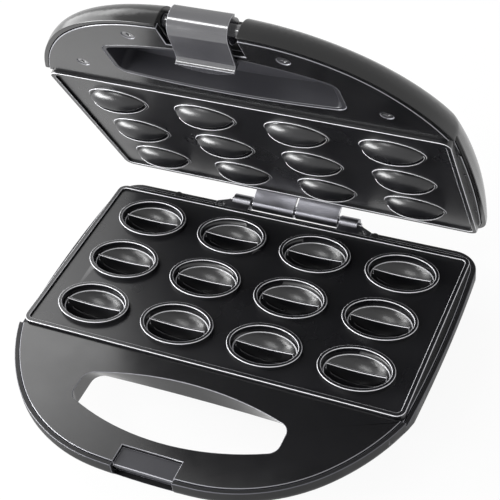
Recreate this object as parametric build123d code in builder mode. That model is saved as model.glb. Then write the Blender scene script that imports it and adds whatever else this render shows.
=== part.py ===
from build123d import *

import os
from math import cos, radians, sin

# Each half is drawn in its own frame. The centre of its plate is the origin, x runs along the hinge, y to the
# rear, and z is the distance from the parting plane: up in the lid, down in the base.

# Plates and moulds
PLATE_LENGTH = 216.0
PLATE_DEPTH = 118.0
PLATE_CORNER = 5.0
PLATE_SHEET = 3.5
LIP_WIDTH = 2.5
LIP_HEIGHT = 1.4
CLOSED_GAP = 0.4
MOULD_COLUMNS = 4
MOULD_ROWS = 3
MOULD_PITCH_X = 50.5
MOULD_PITCH_Y = 36.2
MOULD_HALF_LENGTH = 18.5
MOULD_HALF_WIDTH = 13.0
MOULD_WALL = 1.8
RING_WIDTH = 2.0
RING_RISE = 1.0
MOULD_STEP = 1.2
MOULD_STEP_DEPTH = 3.0
BOWL_CENTRE = -3.0
BOWL_RADIUS = 13.5
RIDGE_HALF_LENGTH = 16.3
RIDGE_END_DEPTH = 0.4
RIDGE_MIDDLE_DEPTH = 1.3
RIDGE_THICKNESS = 1.2
SLOT_ROOM = 0.9
SLOT_FLOOR = 0.6
BUMP_HALF_LENGTH = 16.4
BUMP_HALF_WIDTH = 10.0
BUMP_WALL = 2.4
BUMP_FOOT = 1.0
BUMP_FOOT_RISE = 0.5

# Outline of both halves, seen from above
GRIP_FRONT = 130.6
GRIP_NOSE = (26.0, 129.8)
GRIP_CHEEK = (54.2, 123.2)
GRIP_SHOULDER = (86.5, 99.9)
GRIP_HEEL = (110.0, 59.5)
SIDE_BULGE = 113.0
SIDE_BULGE_Y = 6.0
REAR_HALF_WIDTH = 110.5
REAR_Y = 68.0
REAR_CORNER = 15.0
HEEL_BLEND = 20.0

# Walls, decks and rims
WALL = 2.4
DECK_FACE = 2.0
DECK_GROOVE = 0.3
RIM_DROP = 0.5
SIDE_RIM = 5.6
FRAME_LEDGE = 4.0
FRAME_THICKNESS = 3.0
SEAT_GAP = 0.3
DECK_OVERLAP = 2.5

# Lid dome
DOME_TOP = 33.0
DOME_RADIUS = 477.0
DOME_EDGE = 12.0

# Base tub and grip tray
TUB_DEPTH = 38.0
TUB_FRONT = 71.5
TUB_FRONT_FACE = ((0.0, 71.5, 11.5), (0.0, 1.0, 1.15))
TUB_SIDE_FACE = ((112.8, 0.0, 10.0), (1.0, 0.0, 0.8))
TUB_CORNER_FACE = ((110.0, 59.5, 9.0), (0.87, 0.5, 1.05))
TUB_EDGE = 7.0
TRAY_DEPTH = 13.0
TRAY_EDGE = 6.0

# Finger holes: half length, rear edge at the middle and the ends, front edge at the middle and the ends
LOWER_HOLE = (57.0, 71.0, 81.0, 110.0, 97.0)
LOWER_HOLE_FOOT = (57.0, 71.0, 71.8, 110.0, 97.0)
UPPER_HOLE = (60.5, 68.6, 73.5, 110.0, 99.0)
HOLE_CORNER = 6.5
HOLE_WALL = 2.0
CUP_DEPTH = 15.5
CUP_ROOF = 1.5
CUP_FLANGE = 2.5

# Hinge
HINGE_Y = 70.7
HINGE_DEPTH = 4.9
BARREL_RADIUS = 3.6
BARREL_START = 0.6
BARREL_END = 26.5
KNUCKLE_RADIUS = 4.0
KNUCKLE_START = 27.6
KNUCKLE_END = 38.6
PIN_RADIUS = 1.8
PIN_OVERHANG = 1.6
RUNNING_FIT = 0.05
PRESS_FIT = 0.02
LEAF_THICKNESS = 1.6
LEAF_FRONT = 60.0
BRACKET_END = 48.0
BRACKET_SLANT = 66.0
HINGE_CLEARANCE = 1.0
HINGE_NOTCH_REAR = 65.2
HINGE_NOTCH_DEPTH = 9.5
WEB_FRONT = 67.1
WEB_REAR = 68.7
LID_OPEN = 62.0

# Latch, in the frame of its own pin: u out of its face, v along its plate
LATCH_WIDTH = 30.0
LATCH_Y = 122.5
LATCH_HEIGHT = 9.3
LATCH_BARREL = 8.0
LATCH_PLATE = 1.8
LATCH_LENGTH = 14.4
LATCH_SWING = 79.0
LATCH_COVER_START = -125.0
LATCH_PIN_RADIUS = 1.5
LATCH_PIN_HALF = 22.0
LATCH_HUB_HALF = 19.7
LATCH_HUB_RADIUS = 3.2
LATCH_CHEEK = 2.0
LIP_FLARE = 2.6
LIP_LENGTH = 3.4
LIP_THICKNESS = 1.8
LIP_BOW = 2.8
TOOTH_REACH = 1.6
TOOTH_HEIGHT = 2.0
TOOTH_START = 0.95
NOTCH_HALF = 20.0
NOTCH_REAR = 112.7
CATCH_HALF = 16.5
CATCH_REAR = 117.0
CATCH_FACE = 3.5
CATCH_FRONT = 128.3
LEDGE_DEPTH = 5.6
LEDGE_UNDERCUT = 2.2
CATCH_WINDOW = 11.2
CATCH_BACKING = 124.0
FIT_GAP = 0.15

# Electrical parts
HEATER_RADIUS = 3.0
HEATER_Y = 18.1
HEATER_START = 94.0
HEATER_BEND_X = 80.0
HEATER_PIN_RADIUS = 1.2
HEATER_PIN_PROUD = 3.0
HEATER_PIN_ROOM = 0.8
SHIELD_SHEET = 0.8
SHIELD_LENGTH = 206.0
SHIELD_WIDTH = 104.0
SHIELD_TAPER = 8.0
SHIELD_FLANGE = 4.0
LOWER_SHIELD_DEPTH = 17.6
UPPER_SHIELD_DEPTH = 12.6
THERMOSTAT_RADIUS = 5.2
THERMOSTAT_HEIGHT = 7.0
THERMOSTAT_CAP = 3.0
THERMOSTAT_STEM = 2.0
FUSE_RADIUS = 2.0
FUSE_LENGTH = 12.0
TERMINAL_SIZE = (34.0, 16.0, 12.0)
TERMINAL_PLACE = (46.0, 42.0)
TERMINAL_POLES = 3
TERMINAL_SCREW_RADIUS = 2.0
TERMINAL_SCREW_LENGTH = 5.0
LENS_RADIUS = 3.5
LENS_SPACING = 18.0
LENS_Y = 92.0
LENS_PROUD = 0.9
LENS_FLANGE = 0.9
LENS_EDGE = 0.6
LAMP_LENGTH = 4.0
LAMP_RADIUS = 2.4

# Fasteners, feet and small parts
DECK_SCREWS = ((39.0, 115.5), (80.0, 76.0))
SCREW_RADIUS = 1.5
SCREW_HEAD_RADIUS = 3.0
SCREW_HEAD = 1.4
SCREW_SINK = 0.4
SCREW_BITE = 8.0
DECK_SCREW_BITE = 6.5
RECESS_LENGTH = 3.4
RECESS_WIDTH = 0.7
RECESS_DEPTH = 0.6
BOSS_RADIUS = 3.6
PLATE_SCREW_X = 50.5
PLATE_SCREW_Y = 42.0
HINGE_SCREW_Y = 62.7
HINGE_SCREW_HEAD = 1.0
HINGE_SCREW_HEAD_RADIUS = 2.4
HINGE_SCREW_TIP = 14.0
HINGE_BOSS_DEPTH = 16.0
LID_HINGE_SCREWS = (8.0, 20.0)
BASE_HINGE_SCREW = 43.5
FOOT_RADIUS = 7.5
FOOT_HEIGHT = 4.0
FOOT_SINK = 1.5
FOOT_EDGE = 0.8
FOOT_X = 78.0
FOOT_FRONT = 28.0
FOOT_REAR = 46.0
VENT_RADIUS = 0.7
VENT_PITCH = 24.0
VENT_COUNT = 4
VENT_X = 108.2
VENT_Y = -1.0
STOP_PLACES = (72.0, -51.0)
STOP_Y = 62.6
STOP_RADIUS = 2.4
STOP_HEIGHT = 3.4
STOP_STEM = 1.5
STOP_ROUNDING = 1.0
GROMMET_X = 70.0
GROMMET_DEPTH = 22.0
GROMMET_RADIUS = 5.5
GROMMET_NECK = 4.5
GROMMET_BORE = 3.2
GROMMET_PROUD = 3.0
GROMMET_BACK = 1.6

# Values that follow from the dimensions above
PLATE_LIP = CLOSED_GAP / 2
PLATE_FACE = PLATE_LIP + LIP_HEIGHT
PLATE_BACK = PLATE_FACE + PLATE_SHEET
FRAME_BACK = PLATE_BACK + FRAME_THICKNESS
GRIP_RIM = DECK_FACE + RIM_DROP
DECK_REAR = PLATE_DEPTH / 2 + SEAT_GAP
DECK_INSET = WALL + DECK_GROOVE
OPENING_LENGTH = PLATE_LENGTH - 2 * FRAME_LEDGE
OPENING_DEPTH = PLATE_DEPTH - 2 * FRAME_LEDGE
TRAY_FLOOR = TRAY_DEPTH - WALL
TUB_FLOOR = TUB_DEPTH - WALL
bowl_drop = MOULD_STEP_DEPTH - BOWL_CENTRE
bowl_half_width = (BOWL_RADIUS**2 - bowl_drop**2) ** 0.5
BOWL_STRETCH = (MOULD_HALF_LENGTH - MOULD_STEP) / bowl_half_width
SCREW_HOLE = SCREW_RADIUS + PRESS_FIT
PIN_END = KNUCKLE_END + PIN_OVERHANG
LATCH_OUT = (0, -cos(radians(LATCH_SWING)), -sin(radians(LATCH_SWING)))
BIG = 400.0


def outline(inset=0.0):
    """Outline of a half seen from above: D-shaped grip, bulging sides, rounded rear corners."""
    with BuildSketch() as shape:
        with BuildLine():
            nose = TangentArc((0, -GRIP_FRONT), (GRIP_NOSE[0], -GRIP_NOSE[1]), tangent=(1, 0))
            cheek = TangentArc(nose @ 1, (GRIP_CHEEK[0], -GRIP_CHEEK[1]), tangent=nose % 1)
            shoulder = TangentArc(cheek @ 1, (GRIP_SHOULDER[0], -GRIP_SHOULDER[1]), tangent=cheek % 1)
            heel = TangentArc(shoulder @ 1, (GRIP_HEEL[0], -GRIP_HEEL[1]), tangent=shoulder % 1)
            side = ThreePointArc(heel @ 1, (SIDE_BULGE, SIDE_BULGE_Y), (REAR_HALF_WIDTH, REAR_Y))
            Line(side @ 1, (0, REAR_Y))
            mirror(about=Plane.YZ)
        make_face()
        rear = shape.vertices().filter_by(lambda v: abs(v.Y - REAR_Y) < 0.01 and abs(v.X) > 1)
        fillet(rear, radius=REAR_CORNER)
        if inset:
            offset(amount=-inset, kind=Kind.INTERSECTION)
        heels = shape.vertices().filter_by(lambda v: abs(v.Y + GRIP_HEEL[1]) < HEEL_BLEND / 2)
        fillet(heels, radius=HEEL_BLEND - inset)
    return shape.sketch


def grip_outline(inset=0.0, rear=DECK_REAR):
    """Part of the outline in front of the plate."""
    whole = outline(inset)
    with BuildSketch() as shape:
        add(whole)
        with Locations((0, -rear - BIG / 2)):
            Rectangle(BIG, BIG, mode=Mode.INTERSECT)
    return shape.sketch


def hole_outline(hole, inset=0.0):
    """Lens-shaped finger hole of a grip."""
    half_length, rear, rear_end, front, front_end = hole
    with BuildSketch() as shape:
        with BuildLine():
            back = ThreePointArc((-half_length, -rear_end), (0, -rear), (half_length, -rear_end))
            fore = ThreePointArc((half_length, -front_end), (0, -front), (-half_length, -front_end))
            Line(back @ 1, fore @ 0)
            Line(fore @ 1, back @ 0)
        make_face()
        if inset:
            offset(amount=-inset, kind=Kind.INTERSECTION)
        fillet(shape.vertices(), radius=HOLE_CORNER - inset)
    return shape.sketch


def rectangle(length, width, corner=0.0, y=0.0):
    """Rectangle, if wanted with rounded corners."""
    with BuildSketch() as shape:
        with Locations((0, y)):
            if corner:
                RectangleRounded(length, width, corner)
            else:
                Rectangle(length, width)
    return shape.sketch


def slab(sketch, start, end):
    """Flat slab of a sketch between two heights."""
    with BuildPart() as piece:
        with BuildSketch(Plane.XY.offset(start)):
            add(sketch)
        extrude(amount=end - start)
    return piece.part


def block(low, high):
    """Box from its lowest to its highest corner."""
    size = [b - a for a, b in zip(low, high)]
    centre = tuple((a + b) / 2 for a, b in zip(low, high))
    with BuildPart() as piece:
        with Locations(centre):
            Box(*size)
    return piece.part


def posts(points, radius, start, end):
    """Round posts along z at the given points."""
    with BuildPart() as piece:
        with BuildSketch(Plane.XY.offset(start)):
            with Locations(*points):
                Circle(radius)
        extrude(amount=end - start)
    return piece.part


def rods(radius, spans, y, z):
    """Round rods along x, one for each span."""
    with BuildPart() as piece:
        for start, end in spans:
            with BuildSketch(Plane(origin=(start, y, z), x_dir=(0, 1, 0), z_dir=(1, 0, 0))):
                Circle(radius)
            extrude(amount=end - start)
    return piece.part


def both_sides(points):
    """The given points, in front of the plate, and their mirror images."""
    return [(side * x, -y) for x, y in points for side in (1, -1)]


def spheroid(half_length, half_width, height, way=1):
    """Half of an egg-shaped solid, long along x, bulging away from the parting plane, or past it if way is -1."""
    with BuildPart() as egg:
        Sphere(half_width)
        scale(by=(half_length / half_width, 1, 1))
        split(bisect_by=Plane.XY, keep=Keep.TOP if way > 0 else Keep.BOTTOM)
    return egg.part.moved(Location((0, 0, height)))


def mould_grid():
    """Centres of the moulds."""
    return GridLocations(MOULD_PITCH_X, MOULD_PITCH_Y, MOULD_COLUMNS, MOULD_ROWS)


def egg(wall=0.0):
    """Egg-shaped solid whose lower cap is the bowl of a mould."""
    radius = BOWL_RADIUS + wall
    return spheroid(radius * BOWL_STRETCH, radius, BOWL_CENTRE)


def bowl(wall=0.0):
    """Bowl of a mould, from its step down."""
    with BuildPart() as cap:
        add(egg(wall))
        add(slab(rectangle(BIG, BIG), BOWL_CENTRE - 1, MOULD_STEP_DEPTH), mode=Mode.SUBTRACT)
    return cap.part


def ridge():
    """Seam ridge that divides a mould along its middle, with a slightly sagging crest."""
    with BuildPart() as fin:
        with BuildSketch(Plane.XZ):
            with BuildLine():
                ends = (RIDGE_HALF_LENGTH, RIDGE_END_DEPTH)
                crest = ThreePointArc((-ends[0], ends[1]), (0, RIDGE_MIDDLE_DEPTH), ends)
                foot = BOWL_CENTRE + BOWL_RADIUS + MOULD_WALL
                Polyline(crest @ 1, (RIDGE_HALF_LENGTH, foot), (-RIDGE_HALF_LENGTH, foot), crest @ 0)
            make_face()
        extrude(amount=RIDGE_THICKNESS / 2, both=True)
        add(egg(MOULD_WALL / 2), mode=Mode.INTERSECT)
    return fin.part


def plate_blank():
    """Plate sheet with a raised lip all round."""
    with BuildPart() as blank:
        with BuildSketch(Plane.XY.offset(PLATE_LIP)):
            RectangleRounded(PLATE_LENGTH, PLATE_DEPTH, PLATE_CORNER)
        extrude(amount=PLATE_BACK - PLATE_LIP)
        with BuildSketch(Plane.XY.offset(PLATE_LIP)):
            RectangleRounded(PLATE_LENGTH - 2 * LIP_WIDTH, PLATE_DEPTH - 2 * LIP_WIDTH, PLATE_CORNER - LIP_WIDTH)
        extrude(amount=LIP_HEIGHT, mode=Mode.SUBTRACT)
    return blank.part


def dome(inset=0.0):
    """Domed lid without its hollow, from the grip's rim upwards."""
    with BuildPart() as solid:
        with BuildSketch(Plane.XY.offset(GRIP_RIM)):
            add(outline(inset))
        extrude(amount=DOME_TOP)
        with Locations((0, 0, DOME_TOP - DOME_RADIUS)):
            Sphere(DOME_RADIUS - inset, rotation=(90, 0, 0), mode=Mode.INTERSECT)
        crown = solid.faces().filter_by(GeomType.SPHERE)
        fillet(crown.edges(), radius=DOME_EDGE - inset)
    return solid.part


def beyond(point, normal, inset=0.0):
    """All that lies outside a slanted face and its mirror image, to cut the face with."""
    with BuildPart() as outside:
        for side in (1, -1):
            origin = (side * point[0], -point[1], point[2])
            face = Plane(origin=origin, z_dir=(side * normal[0], -normal[1], normal[2]))
            with Locations(face.offset(-inset).location):
                Box(BIG, BIG, BIG / 2, align=(Align.CENTER, Align.CENTER, Align.MIN))
    return outside.part


def tub(inset=0.0):
    """Base tub without its hollow: short upright sides, then slanted faces down to a rounded bottom edge."""
    with BuildPart() as solid:
        with BuildSketch(Plane.XY.offset(SIDE_RIM)):
            add(outline(inset))
        extrude(amount=TUB_DEPTH - inset - SIDE_RIM)
        add(beyond((0.0, TUB_FRONT, 0.0), (0.0, 1.0, 0.0), inset), mode=Mode.SUBTRACT)
        for point, normal in (TUB_FRONT_FACE, TUB_SIDE_FACE, TUB_CORNER_FACE):
            add(beyond(point, normal, inset), mode=Mode.SUBTRACT)
        bottom = solid.faces().sort_by(Axis.Z)[-1]
        fillet(bottom.edges(), radius=TUB_EDGE - inset)
    return solid.part


def tray(inset=0.0):
    """Grip tray without its hollow, with its underside curving in."""
    with BuildPart() as solid:
        with BuildSketch(Plane.XY.offset(GRIP_RIM)):
            add(grip_outline(inset))
        extrude(amount=TRAY_DEPTH - inset - GRIP_RIM)
        bottom = solid.faces().sort_by(Axis.Z)[-1]
        curved = bottom.edges().filter_by(lambda e: (e @ 0.5).Y < -DECK_REAR - 1)
        fillet(curved, radius=TRAY_EDGE - inset)
    return solid.part


def heater(shield_depth):
    """Bent tubular heater lying on the plate's back, with its two terminal pins."""
    height = PLATE_BACK + HEATER_RADIUS
    with BuildPart() as element:
        with BuildLine(Plane.XY.offset(height)) as route:
            inward = Line((-HEATER_START, -HEATER_Y), (HEATER_BEND_X, -HEATER_Y))
            bend = TangentArc(inward @ 1, (HEATER_BEND_X, HEATER_Y), tangent=inward % 1)
            Line(bend @ 1, (-HEATER_START, HEATER_Y))
        with BuildSketch(Plane(origin=route.line @ 0, z_dir=route.line % 0)):
            Circle(HEATER_RADIUS)
        sweep(path=route.line)
        add(posts(heater_ends(), HEATER_PIN_RADIUS, height, shield_depth + HEATER_PIN_PROUD))
    return element.part


def heater_ends():
    """Centres of the heater's terminal pins."""
    inside = HEATER_START - HEATER_RADIUS
    return [(-inside, -HEATER_Y), (-inside, HEATER_Y)]


def plate_screw_points():
    """Centres of the screws that hold a plate and its heat shield to the frame between them."""
    return [(x, y) for x in (-PLATE_SCREW_X, PLATE_SCREW_X) for y in (-PLATE_SCREW_Y, PLATE_SCREW_Y)]


def heat_shield(depth):
    """Thin pan behind a plate, with a flange under the frame and holes for screws and heater pins."""
    with BuildPart() as pan:
        with BuildSketch(Plane.XY.offset(FRAME_BACK)):
            RectangleRounded(SHIELD_LENGTH, SHIELD_WIDTH, PLATE_CORNER)
        extrude(amount=depth - FRAME_BACK, taper=SHIELD_TAPER)
        with BuildSketch(Plane.XY.offset(FRAME_BACK)):
            RectangleRounded(SHIELD_LENGTH + 2 * SHIELD_FLANGE, SHIELD_WIDTH + 2 * SHIELD_FLANGE, PLATE_CORNER)
        extrude(amount=SHIELD_SHEET)
        with BuildSketch(Plane.XY.offset(FRAME_BACK)):
            inner = SHIELD_SHEET / cos(radians(SHIELD_TAPER))
            RectangleRounded(SHIELD_LENGTH - 2 * inner, SHIELD_WIDTH - 2 * inner, PLATE_CORNER - inner)
        extrude(amount=depth - FRAME_BACK - SHIELD_SHEET, taper=SHIELD_TAPER, mode=Mode.SUBTRACT)
        with BuildSketch(Plane.XY.offset(depth)):
            with Locations(*plate_screw_points()):
                Circle(SCREW_RADIUS + PRESS_FIT)
            with Locations(*heater_ends()):
                Circle(HEATER_PIN_RADIUS + HEATER_PIN_ROOM)
        extrude(amount=-2 * SHIELD_SHEET, mode=Mode.SUBTRACT)
    return pan.part


def screws(points, head_face, tip, head_radius=SCREW_HEAD_RADIUS, head=SCREW_HEAD):
    """Loose screws, one solid each, from the outer face of the head to the tip of the shank."""
    way = 1 if tip > head_face else -1
    with BuildPart() as group:
        for point in points:
            with BuildSketch(Plane.XY.offset(head_face)):
                with Locations(point):
                    Circle(head_radius)
            extrude(amount=way * head)
            with BuildSketch(Plane.XY.offset(head_face)):
                with Locations(point):
                    Circle(SCREW_RADIUS)
            extrude(amount=tip - head_face)
        with BuildSketch(Plane.XY.offset(head_face)):
            with Locations(*points):
                Rectangle(RECESS_LENGTH, RECESS_WIDTH)
                Rectangle(RECESS_WIDTH, RECESS_LENGTH)
        extrude(amount=way * RECESS_DEPTH, mode=Mode.SUBTRACT)
    return group.part


def deck(hole):
    """Flat grip deck with its finger hole, joined to the frame that carries the plate."""
    opening = rectangle(OPENING_LENGTH, OPENING_DEPTH, PLATE_CORNER)
    with BuildPart() as panel:
        add(slab(grip_outline(DECK_INSET), DECK_FACE, PLATE_BACK))
        add(slab(outline(DECK_INSET), PLATE_BACK, FRAME_BACK))
        add(slab(grip_outline(0, DECK_REAR + DECK_OVERLAP), PLATE_BACK, FRAME_BACK), mode=Mode.SUBTRACT)
        add(slab(opening, PLATE_BACK, FRAME_BACK), mode=Mode.SUBTRACT)
        add(slab(hole, DECK_FACE, PLATE_BACK), mode=Mode.SUBTRACT)
    return panel.part


def vents():
    """Row of small vent holes through the frame on both sides of the plate."""
    rows = [VENT_Y + VENT_PITCH * (i - (VENT_COUNT - 1) / 2) for i in range(VENT_COUNT)]
    points = [(x, y) for x in (-VENT_X, VENT_X) for y in rows]
    return posts(points, VENT_RADIUS, PLATE_BACK, FRAME_BACK)


def lens(point, foot, top):
    """Round indicator lens pressed into the lid, with a softened rim."""
    with BuildPart() as piece:
        add(posts([point], LENS_RADIUS, foot, top))
        rim = piece.edges().group_by(Axis.Z)[-1]
        fillet(rim, radius=LENS_EDGE)
    return piece.part


def hinge_bracket(side, screw_points):
    """Base bracket: outer knuckle on a leaf that slants away from the hinge."""
    span = [(side * KNUCKLE_START, side * KNUCKLE_END)]
    with BuildPart() as bracket:
        with BuildSketch(Plane.XY.offset(PLATE_BACK - LEAF_THICKNESS)):
            with BuildLine():
                Polyline(
                    (side * KNUCKLE_START, HINGE_Y),
                    (side * KNUCKLE_END, HINGE_Y),
                    (side * BRACKET_END, BRACKET_SLANT),
                    (side * BRACKET_END, LEAF_FRONT),
                    (side * KNUCKLE_START, LEAF_FRONT),
                    close=True,
                )
            make_face()
        extrude(amount=LEAF_THICKNESS)
        add(rods(KNUCKLE_RADIUS, span, HINGE_Y, HINGE_DEPTH))
        bore = [(side * KNUCKLE_START, side * (PIN_END + PIN_OVERHANG))]
        add(rods(PIN_RADIUS + PRESS_FIT, bore, HINGE_Y, HINGE_DEPTH), mode=Mode.SUBTRACT)
        add(posts(screw_points, SCREW_HOLE, 0, PLATE_BACK), mode=Mode.SUBTRACT)
    return bracket.part


def latch_plane(x):
    """Plane across the latch at a given x: its first axis points out of the latch's face."""
    return Plane(origin=(x, -LATCH_Y, LATCH_HEIGHT), x_dir=LATCH_OUT, z_dir=(1, 0, 0))


# Plates
cup = bowl(MOULD_WALL)
hollow = bowl()
seam = ridge()
with BuildPart() as lower_plate:
    add(plate_blank())
    with mould_grid():
        add(cup)
    with BuildSketch(Plane.XY.offset(-RING_RISE)):
        with mould_grid():
            Ellipse(MOULD_HALF_LENGTH + RING_WIDTH, MOULD_HALF_WIDTH + RING_WIDTH)
    extrude(amount=PLATE_BACK + RING_RISE)
    add(posts(plate_screw_points(), BOSS_RADIUS, PLATE_BACK, LOWER_SHIELD_DEPTH - SHIELD_SHEET))
    lower_bite = LOWER_SHIELD_DEPTH - SCREW_BITE
    add(posts(plate_screw_points(), SCREW_HOLE, lower_bite, LOWER_SHIELD_DEPTH), mode=Mode.SUBTRACT)
    with mould_grid():
        add(hollow, mode=Mode.SUBTRACT)
    with BuildSketch(Plane.XY.offset(-RING_RISE)):
        with mould_grid():
            Ellipse(MOULD_HALF_LENGTH, MOULD_HALF_WIDTH)
    extrude(amount=RING_RISE + MOULD_STEP_DEPTH, mode=Mode.SUBTRACT)
    with mould_grid():
        add(seam)

bump = spheroid(BUMP_HALF_LENGTH, BUMP_HALF_WIDTH, PLATE_FACE, way=-1)
slot_half = RIDGE_THICKNESS / 2 + SLOT_ROOM
slot = block((-MOULD_HALF_LENGTH, -slot_half, -BUMP_HALF_WIDTH), (MOULD_HALF_LENGTH, slot_half, SLOT_FLOOR))
rib_half = slot_half + BUMP_WALL
with BuildPart() as bump_hollow:
    add(spheroid(BUMP_HALF_LENGTH - BUMP_WALL, BUMP_HALF_WIDTH - BUMP_WALL, PLATE_FACE, way=-1))
    rib = ((-MOULD_HALF_LENGTH, -rib_half, -BUMP_HALF_WIDTH), (MOULD_HALF_LENGTH, rib_half, PLATE_FACE))
    add(block(*rib), mode=Mode.SUBTRACT)
with BuildPart() as upper_plate:
    add(plate_blank())
    with BuildSketch(Plane.XY.offset(PLATE_FACE - BUMP_FOOT_RISE)):
        with mould_grid():
            Ellipse(BUMP_HALF_LENGTH + BUMP_FOOT, BUMP_HALF_WIDTH + BUMP_FOOT)
    extrude(amount=BUMP_FOOT_RISE + PLATE_SHEET)
    with mould_grid():
        add(bump)
    with mould_grid():
        add(slot, mode=Mode.SUBTRACT)
    add(posts(plate_screw_points(), BOSS_RADIUS, PLATE_BACK, UPPER_SHIELD_DEPTH - SHIELD_SHEET))
    upper_bite = UPPER_SHIELD_DEPTH - SCREW_BITE
    add(posts(plate_screw_points(), SCREW_HOLE, upper_bite, UPPER_SHIELD_DEPTH), mode=Mode.SUBTRACT)
    with mould_grid():
        add(bump_hollow.part, mode=Mode.SUBTRACT)
    with BuildSketch(Plane.XY.offset(PLATE_FACE)):
        with mould_grid():
            Ellipse(BUMP_HALF_LENGTH - BUMP_WALL, BUMP_HALF_WIDTH - BUMP_WALL)
    extrude(amount=PLATE_SHEET, mode=Mode.SUBTRACT)

# Heaters, heat shields and their screws
with BuildPart() as lower_heater:
    add(heater(LOWER_SHIELD_DEPTH))
with BuildPart() as upper_heater:
    add(heater(UPPER_SHIELD_DEPTH))
with BuildPart() as lower_heat_shield:
    add(heat_shield(LOWER_SHIELD_DEPTH))
with BuildPart() as upper_heat_shield:
    add(heat_shield(UPPER_SHIELD_DEPTH))
with BuildPart() as lower_plate_screws:
    add(screws(plate_screw_points(), LOWER_SHIELD_DEPTH + SCREW_HEAD, LOWER_SHIELD_DEPTH - SCREW_BITE))
with BuildPart() as upper_plate_screws:
    add(screws(plate_screw_points(), UPPER_SHIELD_DEPTH + SCREW_HEAD, UPPER_SHIELD_DEPTH - SCREW_BITE))

# Shared outlines and points
deck_screw_points = both_sides(DECK_SCREWS)
deck_screw_face = DECK_FACE + SCREW_SINK
deck_screw_tip = PLATE_BACK + DECK_SCREW_BITE
base_screw_tip = TRAY_FLOOR - DECK_SCREW_BITE
screw_seat = SCREW_HEAD_RADIUS + FIT_GAP
base_hinge_points = [(side * BASE_HINGE_SCREW, HINGE_SCREW_Y) for side in (1, -1)]
lid_hinge_points = [(side * x, HINGE_SCREW_Y) for x in LID_HINGE_SCREWS for side in (1, -1)]
stop_points = [(x, STOP_Y) for x in STOP_PLACES]
foot_points = [(x, y) for x in (-FOOT_X, FOOT_X) for y in (-FOOT_FRONT, FOOT_REAR)]
lens_points = [(side * LENS_SPACING / 2, -LENS_Y) for side in (1, -1)]
notch = rectangle(2 * NOTCH_HALF, BIG, y=-NOTCH_REAR - BIG / 2)
catch_window = rectangle(2 * CATCH_HALF, BIG, y=-CATCH_REAR - BIG / 2)
rear_side = rectangle(BIG, BIG, y=BIG / 2 - DECK_REAR)

# Decks
with BuildPart() as hole_wall:
    with BuildSketch(Plane.XY.offset(DECK_FACE)):
        add(hole_outline(LOWER_HOLE, -HOLE_WALL))
    with BuildSketch(Plane.XY.offset(TRAY_DEPTH)):
        add(hole_outline(LOWER_HOLE_FOOT, -HOLE_WALL))
    loft()
with BuildPart() as hole_room:
    with BuildSketch(Plane.XY.offset(DECK_FACE)):
        add(hole_outline(LOWER_HOLE))
    with BuildSketch(Plane.XY.offset(TRAY_DEPTH)):
        add(hole_outline(LOWER_HOLE_FOOT))
    loft()
with BuildPart() as lower_deck:
    add(deck(hole_outline(LOWER_HOLE)))
    add(posts(deck_screw_points, BOSS_RADIUS, PLATE_BACK, TRAY_FLOOR))
    add(posts(deck_screw_points, SCREW_HOLE, base_screw_tip, TRAY_FLOOR), mode=Mode.SUBTRACT)
    add(hole_wall.part)
    add(hole_room.part, mode=Mode.SUBTRACT)
    add(slab(catch_window, DECK_FACE, PLATE_BACK), mode=Mode.SUBTRACT)
    add(posts(base_hinge_points, SCREW_HOLE, PLATE_BACK, FRAME_BACK), mode=Mode.SUBTRACT)
    add(posts(stop_points, STOP_STEM + PRESS_FIT, PLATE_BACK, FRAME_BACK), mode=Mode.SUBTRACT)

with BuildPart() as upper_deck:
    add(deck(hole_outline(UPPER_HOLE)))
    add(slab(notch, DECK_FACE, PLATE_BACK), mode=Mode.SUBTRACT)
    add(posts(deck_screw_points, screw_seat, DECK_FACE, deck_screw_face + SCREW_HEAD), mode=Mode.SUBTRACT)
    add(posts(deck_screw_points, SCREW_HOLE, DECK_FACE, PLATE_BACK), mode=Mode.SUBTRACT)
    add(posts(lid_hinge_points, SCREW_HOLE, PLATE_BACK, FRAME_BACK), mode=Mode.SUBTRACT)
    add(vents(), mode=Mode.SUBTRACT)

cup_inset = FIT_GAP + HOLE_WALL
with BuildPart() as upper_grip_cup:
    add(slab(hole_outline(UPPER_HOLE, FIT_GAP), DECK_FACE, CUP_DEPTH))
    add(slab(hole_outline(UPPER_HOLE, -CUP_FLANGE), PLATE_BACK, PLATE_BACK + CUP_ROOF))
    add(slab(hole_outline(UPPER_HOLE, cup_inset), DECK_FACE, CUP_DEPTH - CUP_ROOF), mode=Mode.SUBTRACT)
    cup_front = NOTCH_REAR - WALL - FIT_GAP
    bay_side = NOTCH_HALF + WALL + FIT_GAP
    bay_room = rectangle(2 * bay_side, BIG, y=-cup_front - BIG / 2)
    add(slab(bay_room, PLATE_BACK, PLATE_BACK + CUP_ROOF), mode=Mode.SUBTRACT)

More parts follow.
